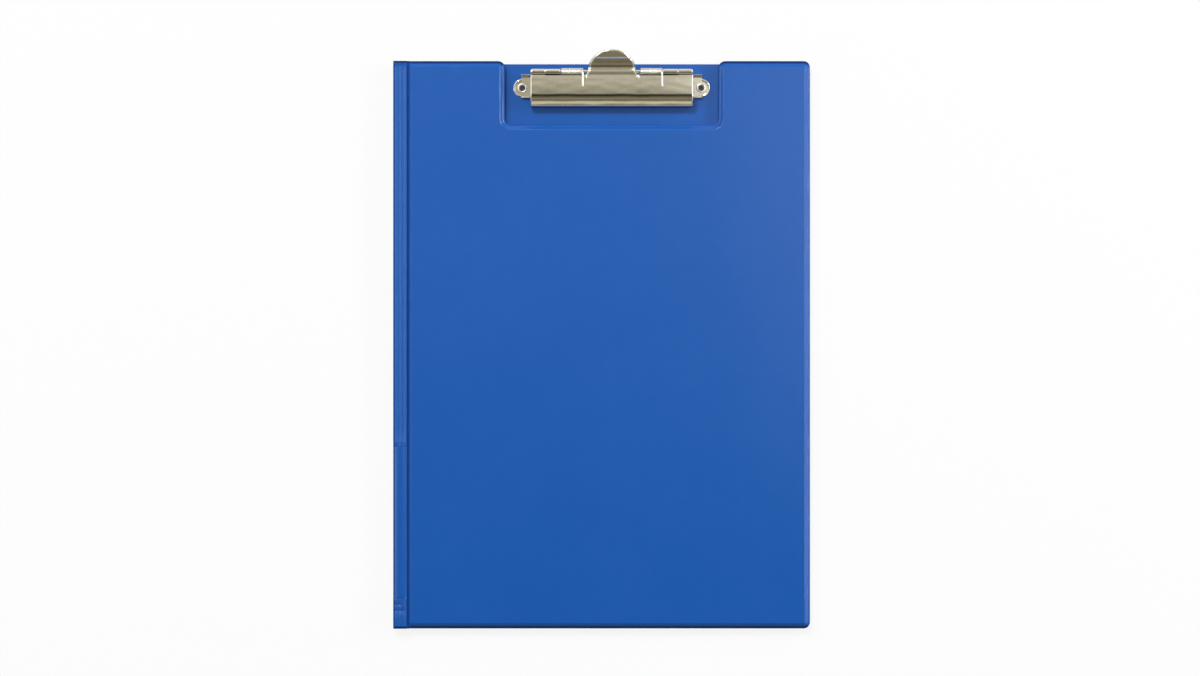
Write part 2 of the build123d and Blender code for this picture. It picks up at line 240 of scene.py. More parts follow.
def addPiece(name, parts, material, sharp=40, marks=None):
    # One mesh object in metres from points in millimetres, closed, with faces outwards. Marks
    # are values at the points that the material reads by their names.
    points, faces = together(parts)
    mesh = bpy.data.meshes.new(name)
    mesh.from_pydata((points * mm).tolist(), [], faces)
    for label, values in (marks or {}).items():
        mesh.attributes.new(label, "FLOAT", "POINT").data.foreach_set("value", values.ravel())
    work = bmesh.new()
    work.from_mesh(mesh)
    bmesh.ops.remove_doubles(work, verts=work.verts, dist=2e-7)
    bmesh.ops.dissolve_degenerate(work, edges=work.edges, dist=1e-7)
    bmesh.ops.delete(work, geom=[v for v in work.verts if not v.link_faces], context="VERTS")
    bmesh.ops.recalc_face_normals(work, faces=work.faces)
    work.to_mesh(mesh)
    work.free()
    mesh.shade_smooth()
    mesh.set_sharp_from_angle(angle=math.radians(sharp))
    mesh.materials.append(material)
    piece = addObject(name, mesh)
    print("made", name, len(mesh.polygons), "faces")
    return piece


# Materials

def newGroup(name, result, **inputs):
    # Empty node group with named number inputs and one named output.
    group = bpy.data.node_groups.new(name, "ShaderNodeTree")
    for label, value in inputs.items():
        socket = group.interface.new_socket(label, in_out="INPUT", socket_type="NodeSocketFloat")
        socket.default_value = value
    group.interface.new_socket(result, in_out="OUTPUT", socket_type="NodeSocketFloat")
    taken = group.nodes.new("NodeGroupInput").outputs
    return group, taken, group.nodes.new("NodeGroupOutput").inputs[result]


def feed(tree, value, socket):
    # Give a socket the output of another node, or a constant.
    if isinstance(value, bpy.types.NodeSocket):
        tree.links.new(value, socket)
    else:
        socket.default_value = value


def feedAll(tree, node, **inputs):
    # A node with its named inputs fed. A space in a socket's name is written as _ here.
    for label, value in inputs.items():
        feed(tree, value, node.inputs[label.replace("_", " ")])
    return node


def newNode(tree, kind, **inputs):
    return feedAll(tree, tree.nodes.new("ShaderNode" + kind), **inputs)


def mathNode(tree, operation, a, b):
    node = newNode(tree, "Math")
    node.operation = operation
    feed(tree, a, node.inputs[0])
    feed(tree, b, node.inputs[1])
    return node.outputs[0]


def noiseNode(tree, scale, detail, stretch=None):
    # Noise on Object coordinates, stretched along the axes if asked.
    place = newNode(tree, "TexCoord").outputs["Object"]
    if stretch:
        place = newNode(tree, "Mapping", Vector=place, Scale=stretch).outputs["Vector"]
    return newNode(tree, "TexNoise", Vector=place, Scale=scale, Detail=detail).outputs["Fac"]


def pebbleGroup():
    # Height of a pebbled grain: cells with soft gaps, and a finer noise over them.
    group, taken, given = newGroup("pebbleGrain", "Height", Scale=1500.0, Fine=0.3)
    place = newNode(group, "TexCoord").outputs["Object"]
    cells = newNode(group, "TexVoronoi", Vector=place, Scale=taken["Scale"])
    cells.feature = "SMOOTH_F1"
    double = mathNode(group, "MULTIPLY", taken["Scale"], 2.0)
    fine = mathNode(group, "MULTIPLY", noiseNode(group, double, 2.0), taken["Fine"])
    group.links.new(mathNode(group, "ADD", cells.outputs["Distance"], fine), given)
    return group


def wearGroup():
    # Mask of handling marks: broad soft patches, cut up by finer ones.
    group, taken, given = newGroup("handlingWear", "Mask", Scale=25.0, Amount=0.5)
    broad = noiseNode(group, taken["Scale"], 2.0)
    finer = noiseNode(group, mathNode(group, "MULTIPLY", taken["Scale"], 9.0), 4.0)
    mixed = mathNode(group, "MULTIPLY", broad, finer)
    group.links.new(mathNode(group, "MULTIPLY", mixed, taken["Amount"]), given)
    return group


pebbleGrain = pebbleGroup()
handlingWear = wearGroup()


def placeGroup(tree, group, **values):
    node = newNode(tree, "Group")
    node.node_tree = group
    return feedAll(tree, node, **values).outputs[0]


def newMaterial(name, **settings):
    # Principled material with constant values set on the shader's own sockets.
    material = bpy.data.materials.new(name)
    material.use_nodes = True
    tree = material.node_tree
    return material, tree, feedAll(tree, tree.nodes["Principled BSDF"], **settings)


def colourBlend(tree, factor, first, second):
    # Colour that goes from the first to the second as the factor goes from 0 to 1.
    node = newNode(tree, "Mix")
    node.data_type = "RGBA"
    first, second = ((*colour, 1) if isinstance(colour, tuple) else colour for colour in (first, second))
    return feedAll(tree, node, Factor=factor, A=first, B=second).outputs["Result"]


def addBump(tree, shader, height, strength, distance):
    node = newNode(tree, "Bump", Height=height, Strength=strength, Distance=distance)
    tree.links.new(node.outputs["Normal"], shader.inputs["Normal"])


def rangeOf(tree, value, low, high):
    # A value from 0 to 1, moved to run from low to high.
    return mathNode(tree, "ADD", mathNode(tree, "MULTIPLY", value, high - low), low)


def axesOf(tree, coordinates):
    # The X, Y and Z of a place or a direction.
    place = newNode(tree, "TexCoord").outputs[coordinates]
    return newNode(tree, "SeparateXYZ", Vector=place).outputs


# The darkest colour is painted shade. It is laid on the film's welds, notch rim, fold groove and outer
# spine edge, and on its seams and slits.
vinylLook = {
    "colour": (0.009, 0.098, 0.418), "faded": (0.012, 0.106, 0.436), "deep": (0.001, 0.021, 0.115),
    "marked": True,
    "roughLow": 0.3, "roughHigh": 0.39, "grainScale": 1500.0, "grainDepth": 0.00006,
}


def vinylMaterial(name, look):
    # A pebbled film under a thin smooth skin, which gives the bends their clear light lines.
    settings = {"Specular_IOR_Level": 0.1, "Coat_Weight": 0.65, "Coat_Roughness": 0.17}
    material, tree, shader = newMaterial(name, **settings)
    wear = placeGroup(tree, handlingWear, Scale=14.0, Amount=2.6)
    face = colourBlend(tree, wear, look["colour"], look["faded"])
    if look["marked"]:
        pressedAndShaded = newNode(tree, "Attribute")
        pressedAndShaded.attribute_name = "pressedAndShaded"
        # Where the mark is high the film's gloss goes first, and then its colour deepens into painted
        # shade.
        depth = mathNode(tree, "DIVIDE", mathNode(tree, "SUBTRACT", pressedAndShaded.outputs["Fac"], 0.4), 0.6)
        face = colourBlend(tree, depth, face, look["deep"])
        skin = mathNode(tree, "MAXIMUM", rangeOf(tree, pressedAndShaded.outputs["Fac"], 0.65, -0.95), 0.05)
        feedAll(tree, shader, Coat_Weight=skin)
    rough = rangeOf(tree, placeGroup(tree, handlingWear, Scale=30.0, Amount=2.2),
                    look["roughLow"], look["roughHigh"])
    feedAll(tree, shader, Base_Color=face, Roughness=rough)
    grain = placeGroup(tree, pebbleGrain, Scale=look["grainScale"], Fine=0.35)
    addBump(tree, shader, grain, 0.35, look["grainDepth"])
    return material


metalLook = {
    "colour": (0.80, 0.765, 0.68), "dull": (0.66, 0.63, 0.55),
    "roughLow": 0.07, "roughHigh": 0.2, "wave": 0.00004,
}


def nickelMaterial(name, look):
    # Bright plating: a long slow wave in the sheet, faint rubbed streaks and dull patches.
    material, tree, shader = newMaterial(name, Metallic=1.0)
    wear = placeGroup(tree, handlingWear, Scale=60.0, Amount=2.0)
    face = colourBlend(tree, wear, look["colour"], look["dull"])
    rough = rangeOf(tree, noiseNode(tree, 90.0, 5.0, (0.3, 4.0, 4.0)), look["roughLow"], look["roughHigh"])
    feedAll(tree, shader, Base_Color=face, Roughness=rough)
    addBump(tree, shader, noiseNode(tree, 70.0, 1.0, (0.35, 1.3, 1.3)), 1.0, look["wave"])
    return material


def boardMaterial(name):
    # Pressed grey board with darker fibres.
    material, tree, shader = newMaterial(name, Roughness=0.9)
    fibres = noiseNode(tree, 900.0, 6.0, (1.0, 1.0, 5.0))
    feedAll(tree, shader, Base_Color=colourBlend(tree, fibres, (0.34, 0.32, 0.29), (0.5, 0.48, 0.44)))
    addBump(tree, shader, fibres, 0.5, 0.0001)
    return material


blueVinyl = vinylMaterial("blueVinyl", vinylLook)
innerVinyl = vinylMaterial("innerVinyl", {
    **vinylLook, "marked": False, "grainDepth": 0.00003, "roughLow": 0.32,
})
brightNickel = nickelMaterial("brightNickel", metalLook)
springNickel = nickelMaterial("springNickel", {**metalLook, "colour": (0.84, 0.81, 0.74), "wave": 0.00001})
rivetNickel = nickelMaterial("rivetNickel", {
    "colour": (0.93, 0.92, 0.88), "dull": (0.8, 0.79, 0.74),
    "roughLow": 0.3, "roughHigh": 0.4, "wave": 0.00001,
})
greyBoard = boardMaterial("greyBoard")
print("materials made")


# Films of the back and the cover, each one sheet from the middle of the spine to the far edges

film = {
    "cornerRadius": 3.6, "mouthRadius": 4.0, "notchRadius": 3.2,
    "weld": 0.8, "weldLine": (0.75, 0.5, 0.05), "slope": 2.4, "slopeFoot": 2.0, "slopeEven": 0.25,
    "thick": 0.3, "innerLevel": 2.3,
    "spineZone": 9.3, "flangeLevel": 0.3, "flangeThick": 0.6,
    "foldOuter": 0.7, "foldInner": 0.1, "foldZone": 0.5,
    "ribFirst": 2.0, "ribPitch": 2.35, "ribCount": 3, "ribWidth": 1.6, "ribHeight": 0.24,
    "grooveWidth": 1.4, "grooveFloor": 0.95, "grooveLevel": 1.2, "crestRun": 0.95,
    "beadPlace": 7.4, "beadWidth": 0.9, "beadHeight": 0.16,
    "endRidge": (1.6, 1.0, 0.14),
    "sleeveMouth": 17.2, "sleeveLength": 86.3, "sleeveFade": 1.6,
    "bulgeHeight": 0.25, "bulgeMiddle": 4.4, "bulgeReach": 3.8, "bulgeDrop": 0.85,
    "seams": 2, "seamPitch": 1.4, "seamWidth": 0.7, "seamHeight": 0.12,
    "slitPitch": 3.4, "slitLengths": (5.0, 4.1, 5.7),
    "slitWidth": 0.8, "slitDepth": 0.2,
    "notchWidth": 120.3, "notchDepth": 35.7, "wave": 0.05, "waveLength": 46.0,
    "rivetSetback": 8.6, "rivetSpacing": 101.0, "rivetHole": 2.95,
}
clipX = jointPlace["jaw_pivot"][0]
leftEdge = jointPlace["spine_fold"][0] - film["flangeThick"] / 2
rightEdge = coverHigh[0]
lowEdge, highEdge = coverLow[1], coverHigh[1]
closedThick = coverHigh[2]
foldX = leftEdge + film["foldOuter"]
foldZ = film["flangeLevel"] + film["foldOuter"]
panelLeft = leftEdge + film["spineZone"]
facesLeft = panelLeft + film["crestRun"]
grooveLeft = panelLeft - film["grooveWidth"]
crestLeft = grooveLeft + film["grooveFloor"]
boardLeft = facesLeft + film["thick"]
boardInset = film["weld"] + film["slope"]
sleeveEnd = lowEdge + film["sleeveMouth"]
sleeveStart = sleeveEnd + film["sleeveLength"]
notchHalf = film["notchWidth"] / 2
notchLeft, notchRight = clipX - notchHalf, clipX + notchHalf
notchFloor = highEdge - film["notchDepth"]
rivetY = jointPlace["jaw_pivot"][1] - film["rivetSetback"]
rivetXs = [clipX + side * film["rivetSpacing"] / 2 for side in (-1, 1)]
insets = np.concatenate([[0, 0.15, 0.5], film["weld"] + film["slope"] * np.linspace(0, 1, 11)])
roundSteps = np.tan(np.radians(np.linspace(0, 45, 8)))
wall = 0.02  # run of a wall that stands nearly upright in the grid


def edgeDistance(x, y, top, notched):
    # How far a grid point lies inside the outline, before its corners are rounded.
    inside = np.minimum(np.minimum(rightEdge - x, y - lowEdge), top - y)
    if notched:
        inside = np.minimum(inside, np.maximum(np.abs(x - clipX) - notchHalf, notchFloor - y))
    return inside


def roundedCorner(x, y, centre, towards, reach, fade):
    # Square rings about a centre become round rings of the same size, up to the reach, and
    # go back to square over the fade.
    dx = (x - centre[0]) * towards[0]
    dy = (y - centre[1]) * towards[1]
    ring = np.maximum(dx, dy)
    long = np.maximum(np.hypot(dx, dy), 1e-9)
    share = np.where((dx > 0) & (dy > 0), 1 - smoothStep(ring, reach, fade), 0)
    factor = 1 + share * (ring / long - 1)
    return (np.where(share > 0, centre[0] + dx * factor * towards[0], x),
            np.where(share > 0, centre[1] + dy * factor * towards[1], y))


def outlineCorners(top, notched):
    # Centre, direction, reach and radius of each rounded corner of a panel.
    r = film["cornerRadius"]
    corners = [((rightEdge - r, lowEdge + r), (1, -1), 99, r), ((rightEdge - r, top - r), (1, 1), 99, r)]
    if notched:
        mouth, inner = film["mouthRadius"], film["notchRadius"]
        reach = inner + boardInset + 0.2
        corners += [((notchLeft - mouth, top - mouth), (1, 1), 99, mouth),
                    ((notchRight + mouth, top - mouth), (-1, 1), 99, mouth),
                    ((notchLeft + inner, notchFloor + inner), (-1, -1), reach, inner),
                    ((notchRight - inner, notchFloor + inner), (1, -1), reach, inner)]
    return corners


def faceDepth(inset):
    # Depth below the flat face: the weld at the foot with the line pressed into it, then an
    # S-shaped slope up to the board.
    t = np.clip((inset - film["weld"]) / film["slope"], 0, 1)
    rise = film["slopeEven"] * t + (1 - film["slopeEven"]) * smoothStep(t)
    place, width, depth = film["weldLine"]
    return film["slopeFoot"] * (1 - rise) + depth * bump(inset, place, width)


def inSleeve(y):
    # 1 along the pen sleeve, 0 past its ends.
    fade = film["sleeveFade"]
    return smoothStep(y - sleeveEnd, -fade / 2, fade) * smoothStep(sleeveStart - y, -fade / 2, fade)


def spineMarks(x, y):
    # Pressed lines of the spine, as ridges from 0 to 1: the two seams across the sleeve's
    # upper end, and the slits below its mouth, of uneven lengths.
    across = smoothStep(x - leftEdge, 0.9, 0.3) * smoothStep(grooveLeft - x, 0.5, 0.4)
    seams = across * sum(bump(y, sleeveStart + k * film["seamPitch"], film["seamWidth"])
                         for k in range(film["seams"]))
    slits = 0 * x
    for k, length in enumerate(film["slitLengths"]):
        cut = bump(y, sleeveEnd - k * film["slitPitch"], film["slitWidth"])
        end = leftEdge + 1.1 + length
        slits = slits + cut * smoothStep(x - leftEdge, 0.8, 0.3) * smoothStep(end - x, 0, 0.5)
    return seams, slits


def spineDepth(x, y, inset):
    # Depth of the thin film beside the panel: ribs, or the round bulge of the pen sleeve with
    # its seams and slits, then a bead, the fold groove and the crest that leads to the panel.
    # A low ridge crosses the film near each end.
    sleeve = inSleeve(y)
    ribs = sum(bump(x, leftEdge + film["ribFirst"] + k * film["ribPitch"], film["ribWidth"])
               for k in range(film["ribCount"]))
    away = (x - leftEdge - film["bulgeMiddle"]) / film["bulgeReach"]
    bulge = film["flangeLevel"] + film["bulgeDrop"] * np.minimum(away ** 2, 1) - film["bulgeHeight"]
    flat = film["flangeLevel"] - film["ribHeight"] * ribs
    seams, slits = spineMarks(x, y)
    level = flat * (1 - sleeve) + bulge * sleeve
    level = level - film["seamHeight"] * seams + film["slitDepth"] * slits
    level = level - film["beadHeight"] * sleeve * bump(x, leftEdge + film["beadPlace"], film["beadWidth"])
    place, width, height = film["endRidge"]
    level = level - height * bump(inset, place, width)
    join = smoothStep(x - grooveLeft, -0.35, 0.45)
    level = level * (1 - join) + film["grooveLevel"] * join
    rise = smoothStep(x, crestLeft, facesLeft - crestLeft)
    return np.maximum(level * (1 - rise) + faceDepth(inset) * rise, 0)


def pressAndShadeMark(x, y, top):
    # A mark from 0 to 1 where the film is thinned with no board behind it, which takes its gloss,
    # and past 0.4 paints shade into its colour: along the welds at both ends, round the notch's
    # rim, in the fold groove, at the spine's outer edge, and in the seams and slits of the spine.
    seams, slits = spineMarks(x, y)
    end = np.minimum(y - lowEdge, top - y)
    # Painted shade along both ends, darkest at the edge.
    weld = 0.4 * (1 - smoothStep(end, 2.9, 0.6)) + 0.6 * (1 - smoothStep(end, 0.5, 1.6))
    beside = np.abs(x - clipX) - notchHalf
    # Painted shade: a thin dark line round the cover's notch rim, where it stands over the back.
    rim = (1 - smoothStep(np.abs(beside), 0.1, 0.35)) * smoothStep(y, notchFloor, 1.5)
    weld = np.maximum(weld, 0.9 * rim * (top > backHigh[1]))
    # Painted shade in the fold groove and along the spine's outer edge.
    fold = 0.8 * smoothStep(x - grooveLeft, -0.2, 0.4) * smoothStep(crestLeft - x, -0.3, 0.4)
    edge = 1 - smoothStep(x - leftEdge, 0.45, 0.7)
    return np.clip(np.maximum.reduce([weld, fold, edge, 0.7 * seams, slits]), 0, 1)


def filmMarks(top, notched, holes):
    # Grid lines that the shape of one film needs, across and along.
    corner = film["cornerRadius"] * (1 - roundSteps)
    edges = np.append(insets, boardInset + wall)
    quarters = np.array([-0.5, -0.25, 0, 0.25, 0.5])
    near = np.array([-1.0, -0.65, -0.3, 0, 0.3, 0.65, 1.0])
    ribs = leftEdge + film["ribFirst"] + film["ribPitch"] * np.arange(film["ribCount"])
    lines = [sleeveStart + k * film["seamPitch"] for k in range(film["seams"])]
    lines += [sleeveEnd - k * film["slitPitch"] for k in range(len(film["slitLengths"]))]
    ribSteps = film["ribWidth"] * np.array([-0.5, -0.35, -0.2, 0, 0.2, 0.35, 0.5])
    across = [[foldX, grooveLeft, panelLeft - wall, panelLeft],
              [boardLeft, boardLeft + wall], np.add.outer(ribs, ribSteps).ravel(),
              grooveLeft + np.array([-0.35, -0.22, -0.1, 0.02, 0.1, 0.7]),
              leftEdge + film["beadPlace"] + film["beadWidth"] * quarters,
              crestLeft + (facesLeft - crestLeft) * np.array([0, 0.15, 0.45, 0.6, 0.75, 0.88, 1]),
              rightEdge - edges, rightEdge - corner]
    along = [lowEdge + edges, lowEdge + corner, top - edges, top - corner,
             sleeveEnd + near, sleeveStart + near,
             np.add.outer(lines, film["slitWidth"] * quarters).ravel()]
    if notched:
        mouth, inner = film["mouthRadius"] * (1 - roundSteps), film["notchRadius"] * (1 - roundSteps)
        for side, edge in ((1, notchLeft), (-1, notchRight)):
            across += [edge - side * edges, edge + side * inner, edge - side * mouth]
        along += [notchFloor - edges, notchFloor + inner, top - mouth]
    rings = film["rivetHole"] * np.concatenate([-roundSteps, roundSteps, [-1.3, 1.3, -1.7, 1.7]])
    for x, y in holes:
        across.append(x + rings)
        along.append(y + rings)
    return stations(np.concatenate(across), 6.0), stations(np.concatenate(along), 6.0)


def filmDepths(x, y, top, notched):
    # Depth of the film's outside and inside at each point of the grid: slow waves over the
    # board, a hollow for the board under them, and thin film beside it.
    inset = edgeDistance(x, y, top, notched)
    waves = 0.5 + 0.25 * np.sin(2 * math.pi * x / film["waveLength"] + 1.1 * np.sin(y / 37.0))
    waves = waves + 0.25 * np.sin(2 * math.pi * y / (1.3 * film["waveLength"]) + np.cos(x / 29.0))
    calm = smoothStep(inset, 4, 12) * smoothStep(x, facesLeft, 12)
    depth = np.where(x < facesLeft, spineDepth(x, y, np.minimum(y - lowEdge, top - y)),
                     faceDepth(inset) + film["wave"] * waves * calm)
    hollow = (x > boardLeft + wall / 2) & (inset > boardInset + wall / 2)
    under = np.where(hollow, depth + film["thick"], film["innerLevel"])
    sleeve = inSleeve(y)
    thin = film["flangeLevel"] + film["flangeThick"] * (1 - sleeve)
    thin = thin + (depth - film["flangeLevel"] + film["thick"]) * sleeve
    fold = smoothStep(x - grooveLeft, -0.45, 0.4)
    thin = thin * (1 - fold) + (film["grooveLevel"] + film["thick"]) * fold
    return depth, np.where(x < panelLeft - wall / 2, thin, under)


def filmCells(x, y, notched, holes):
    # Which cells of the grid are film: those outside the notch and the rivets' holes.
    x = (x[:-1, :-1] + x[:-1, 1:]) / 2
    y = (y[:-1, :-1] + y[1:, :-1]) / 2
    keep = np.ones(x.shape, bool)
    if notched:
        keep &= (np.abs(x - clipX) > notchHalf) | (y < notchFloor)
    for hole in holes:
        keep &= np.maximum(np.abs(x - hole[0]), np.abs(y - hole[1])) > film["rivetHole"]
    return keep


def foldSection(x, radius):
    # X and Z up the spine at an x, from its middle to the fold, and round the fold's arc.
    climb = run([closedThick / 2], [foldZ], 0.9)[:-1, 0]
    up = np.column_stack([np.full(len(climb), x), climb])
    return np.vstack([up, arc((foldX, foldZ), radius, 180, 270, 6)[:-1]])


def filmSheet(top, notched, holes):
    # Grid over the whole film. The first columns climb the spine from its middle to the fold
    # arc, and the rest run across the flange and the panel. Z is the depth from the outside.
    across, along = filmMarks(top, notched, holes)
    x, y = np.meshgrid(across, along)
    depth, under = filmDepths(x, y, top, notched)
    pressedAndShaded = pressAndShadeMark(x, y, top)
    keep = filmCells(x, y, notched, holes)
    for centre, towards, reach, radius in outlineCorners(top, notched):
        x, y = roundedCorner(x, y, centre, towards, reach, 6.0)
    for hole in holes:
        for towards in ((1, 1), (1, -1), (-1, 1), (-1, -1)):
            x, y = roundedCorner(x, y, hole, towards, film["rivetHole"] * 1.1, film["rivetHole"] * 0.6)

    outer = foldSection(leftEdge, film["foldOuter"])
    inner = foldSection(leftEdge + film["flangeThick"], film["foldInner"])
    rows, middle = len(along), closedThick / 2
    allY = np.hstack([np.repeat(along[:, None], len(outer), axis=1), y])

    def withClimb(fold, sheetZ, level):
        # Along the pen sleeve the fold lies deeper, so the climb to it is shorter.
        squeezed = (middle - sheetZ[:, :1]) / (middle - level)
        allX = np.hstack([np.tile(fold[:, 0], (rows, 1)), x])
        allZ = np.hstack([middle - (middle - fold[:, 1])[None, :] * squeezed, sheetZ])
        return np.stack([allX, allY, allZ], axis=-1)

    outside = withClimb(outer, depth, film["flangeLevel"])
    inside = withClimb(inner, under, film["flangeLevel"] + film["flangeThick"])
    keep = np.hstack([np.ones((rows - 1, len(outer)), bool), keep])
    # Round the fold's arc the mark rises to 0.9: painted shade along the spine's outer edge.
    rim = 0.9 * smoothStep(outer[:, 0], leftEdge, 0.3)
    return outside, inside, keep, np.hstack([np.tile(rim, (rows, 1)), pressedAndShaded])


def makeFilm(name, node, body, top, notched, holes):
    outside, inside, keep, pressedAndShaded = filmSheet(top, notched, holes)
    if body == "cover":
        for grid in (outside, inside):
            grid[..., 2] = closedThick - grid[..., 2]
    # The mark carries painted shade and the loss of gloss to the film's material.
    marks = {"pressedAndShaded": np.tile(pressedAndShaded.ravel(), 2)}
    piece = addPiece(name, [shell(outside, inside, keep)], blueVinyl, 38, marks)
    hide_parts(node, "spine_film")
    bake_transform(piece)
    return piece


makeFilm("backFilm", "back_outer_film", "back", backHigh[1], False, [(x, rivetY) for x in rivetXs])
makeFilm("coverFilm", "cover_outer_film", "cover", highEdge, True, [])
for node in ("back_board", "cover_board",
             "back_inner_film", "cover_inner_film", "cover_pocket", "pen_sleeve"):
    materials = frame["nodes"][node].data.materials
    materials.clear()
    materials.append(greyBoard if node.endswith("board") else innerVinyl)
print("films made")


# Clip, in its own frame: X along the hinge, Y and Z from the hinge axis

clip = {
    "sheet": 0.6, "floor": -7.3, "jawTop": 1.8, "jawRear": 2.2, "jawFront": 19.5, "curve": 7.0,
    "halfWidth": 45.75, "endBend": 0.7, "endFlange": 2.4, "flangeStart": 3.0,
    "hemRadius": 0.6, "hemReturn": 0.5, "lipGap": 0.15,
    "tabBend": 0.9, "tabOffset": 1.9, "rod": 0.95, "rodGap": 0.05,
    "rodHead": 1.4, "rodHeadLong": 0.5, "knuckleGap": 0.15,
    "baseKnuckle": (28.9, 37.4), "jawKnuckle": (37.55, 45.0), "baseCurl": 300, "jawCurl": 240,
    "baseHalf": 51.1, "baseFront": -14.3, "baseRear": -1.6, "lipHeight": 1.8, "rearHeight": 3.0,
}
hinge = jointPlace["jaw_pivot"]
half = clip["sheet"] / 2
knuckle = clip["rod"] + clip["rodGap"] + half
jawLevel = clip["jawTop"] - half


def onClip(parts):
    # Parts moved from the clip's own frame to the folder's.
    return [(points + hinge, faces) for points, faces in parts]


jawShape = {"crown": 2.2, "bend": 6.5, "bendRun": 1.2, "slant": 43.0, "slantRun": 2.75, "hollow": 0.05,
            "lastBend": 1.3, "lastRun": 0.5, "waveDepth": 0.013}
lever = {
    "halfWidth": 15.2, "rootY": -6.6, "neckY": -3.3,
    "roundWidth": 13.3, "roundDepth": 10.42, "roundY": 1.0,
    "dip": 0.9, "valley": (2.5, 0.75), "steep": (9.0, 60.0), "top": (6.2, 35.0), "bends": (1.5, 0.8, 4.0),
    "rimWidth": 1.15, "rimSpread": 1.15, "rimHeight": 0.95, "rimUnder": 0.6, "insideInset": 1.7,
}


def leverLine():
    # Middle line of the lever seen from the side: over the hinge, down behind it, then up.
    def step(length, angle):
        return np.array([length * math.cos(math.radians(angle)), length * math.sin(math.radians(angle))])
    valley = np.array(lever["valley"])
    crease = valley + step(*lever["steep"])
    tip = crease + step(*lever["top"])
    corners = [(lever["rootY"], jawLevel), (lever["dip"], jawLevel), valley, crease, tip]
    return bentLine(corners, lever["bends"], arcSteps=10, step=0.25)


def leverPlan():
    # Rows of the lever: even steps up the neck, then the angle of an ellipse. Columns are
    # insets from the edge: an inset row point lies on an ellipse smaller by the inset.
    rim = np.array([0, 0.12, 0.3, 0.5, 0.7, 0.85, 1.0, 1.15, 1.4, lever["insideInset"]])
    span = np.linspace(-1, 1, 15)[1:-1]
    neckRows = np.linspace(-clip["jawRear"], lever["roundY"], 13)[1:]
    angle = np.radians(90 * (1 - (1 - np.linspace(0, 1, 49)) ** 1.25))[1:]
    narrowed = smoothStep(neckRows, lever["neckY"], lever["roundY"] - lever["neckY"])
    width = lever["halfWidth"] + (lever["roundWidth"] - lever["halfWidth"]) * narrowed
    neckX = width[:, None] - rim[None, :]
    neckY = np.repeat(neckRows[:, None], len(rim), axis=1)
    roundX = (lever["roundWidth"] - rim)[None, :] * np.cos(angle)[:, None]
    roundY = lever["roundY"] + (lever["roundDepth"] - rim)[None, :] * np.sin(angle)[:, None]
    rightX = np.vstack([neckX, roundX])
    rightY = np.vstack([neckY, roundY])
    middleX = rightX[:, -1:] * span[None, :]
    middleY = np.repeat(rightY[:, -1:], len(span), axis=1)
    x = np.hstack([-rightX, middleX, rightX[:, ::-1]])
    y = np.hstack([rightY, middleY, rightY[:, ::-1]])
    inset = np.concatenate([rim, np.full(len(span), 9.0), rim[::-1]])
    return x, y, np.broadcast_to(inset, x.shape), rim, span


def leverFaces(x, y, inset, rearLevel):
    # The lever's upper and lower face over its plan, from the level of the jaw's rear edge. Its
    # round rim gets narrower and lower towards the tip.
    path = leverLine()
    normal = leftNormals(path)
    height, ny, nz = (np.interp(y, path[:, 0], values) for values in (path[:, 1], *normal.T))
    height = height - (jawLevel - rearLevel) * (1 - smoothStep(y, -clip["jawRear"], 2.5))
    nearTip = smoothStep(y, 6, 5)
    ridge = bump(inset, (lever["rimWidth"] / 2) * (1 - 0.3 * nearTip),
                 lever["rimWidth"] * lever["rimSpread"] * (1 - 0.35 * nearTip))
    ridge = lever["rimHeight"] * (1 - 0.4 * nearTip) * ridge
    return [np.stack([x, y + ny * lift, height + nz * lift], -1)
            for lift in (half + ridge, lever["rimUnder"] * ridge - half)]


def jawLine():
    # The jaw's flat is crowned a little: its tilt grows evenly from the rear edge. Then the
    # curvature rises smoothly to the nose's, falls to a slightly hollow slant, and rises again
    # to a tight round that ends pointing straight down. The flat's length is set so that the
    # last round ends at the jaw's front.
    crown, slant = math.radians(jawShape["crown"]), math.radians(jawShape["slant"])
    flat = clip["jawFront"] - clip["curve"] - clip["jawRear"]
    slow = 2 * crown / flat
    step = 0.01
    length = np.arange(0, 40, step)
    bendStart = flat - jawShape["bendRun"] / 2
    for _ in range(5):
        slantStart = bendStart + (slant - crown) * jawShape["bend"]
        lastStart = slantStart + jawShape["slantRun"]
        first = smoothStep(length, bendStart, jawShape["bendRun"])
        second = smoothStep(length, slantStart, jawShape["bendRun"])
        third = smoothStep(length, lastStart, jawShape["lastRun"])
        curvature = slow + (1 / jawShape["bend"] - slow) * first
        curvature = curvature + (-jawShape["hollow"] - 1 / jawShape["bend"]) * second
        curvature = curvature + (1 / jawShape["lastBend"] + jawShape["hollow"]) * third
        tilt = -crown + np.cumsum(curvature) * step
        upTo = np.cumsum(tilt >= math.pi / 2) == 0
        y = -clip["jawRear"] - np.cumsum(np.cos(tilt[upTo])) * step
        bendStart += y[-1] + clip["jawFront"] - half
    z = -np.cumsum(np.sin(tilt[upTo])) * step
    z += jawLevel - z.max()
    # A point for each half millimetre, and one more for each three degrees of turn.
    turned = np.cumsum(np.abs(curvature[upTo])) * step
    progress = length[upTo] / 0.5 + np.degrees(turned) / 3
    wanted = np.append(np.arange(progress[0], progress[-1], 1), progress[-1])
    return np.column_stack([np.interp(wanted, progress, y), np.interp(wanted, progress, z)])[::-1]


def mirrored(right, middle, sign=1):
    # A row whose left part is its right part turned round.
    return np.concatenate([sign * right[::-1], middle, right])


def jawEnd(side, depth):
    # Right part of a row across the jaw at a depth in the sheet: flat, then bent down.
    corner = np.radians(np.linspace(0, 90, 7))[1:-1]
    radius = clip["endBend"] - depth
    x = np.concatenate([side, side[-1] + radius * np.sin(corner), np.full(5, side[-1] + radius)])
    return x, depth + np.concatenate([0 * side, radius * (1 - np.cos(corner)), np.full(5, radius)])


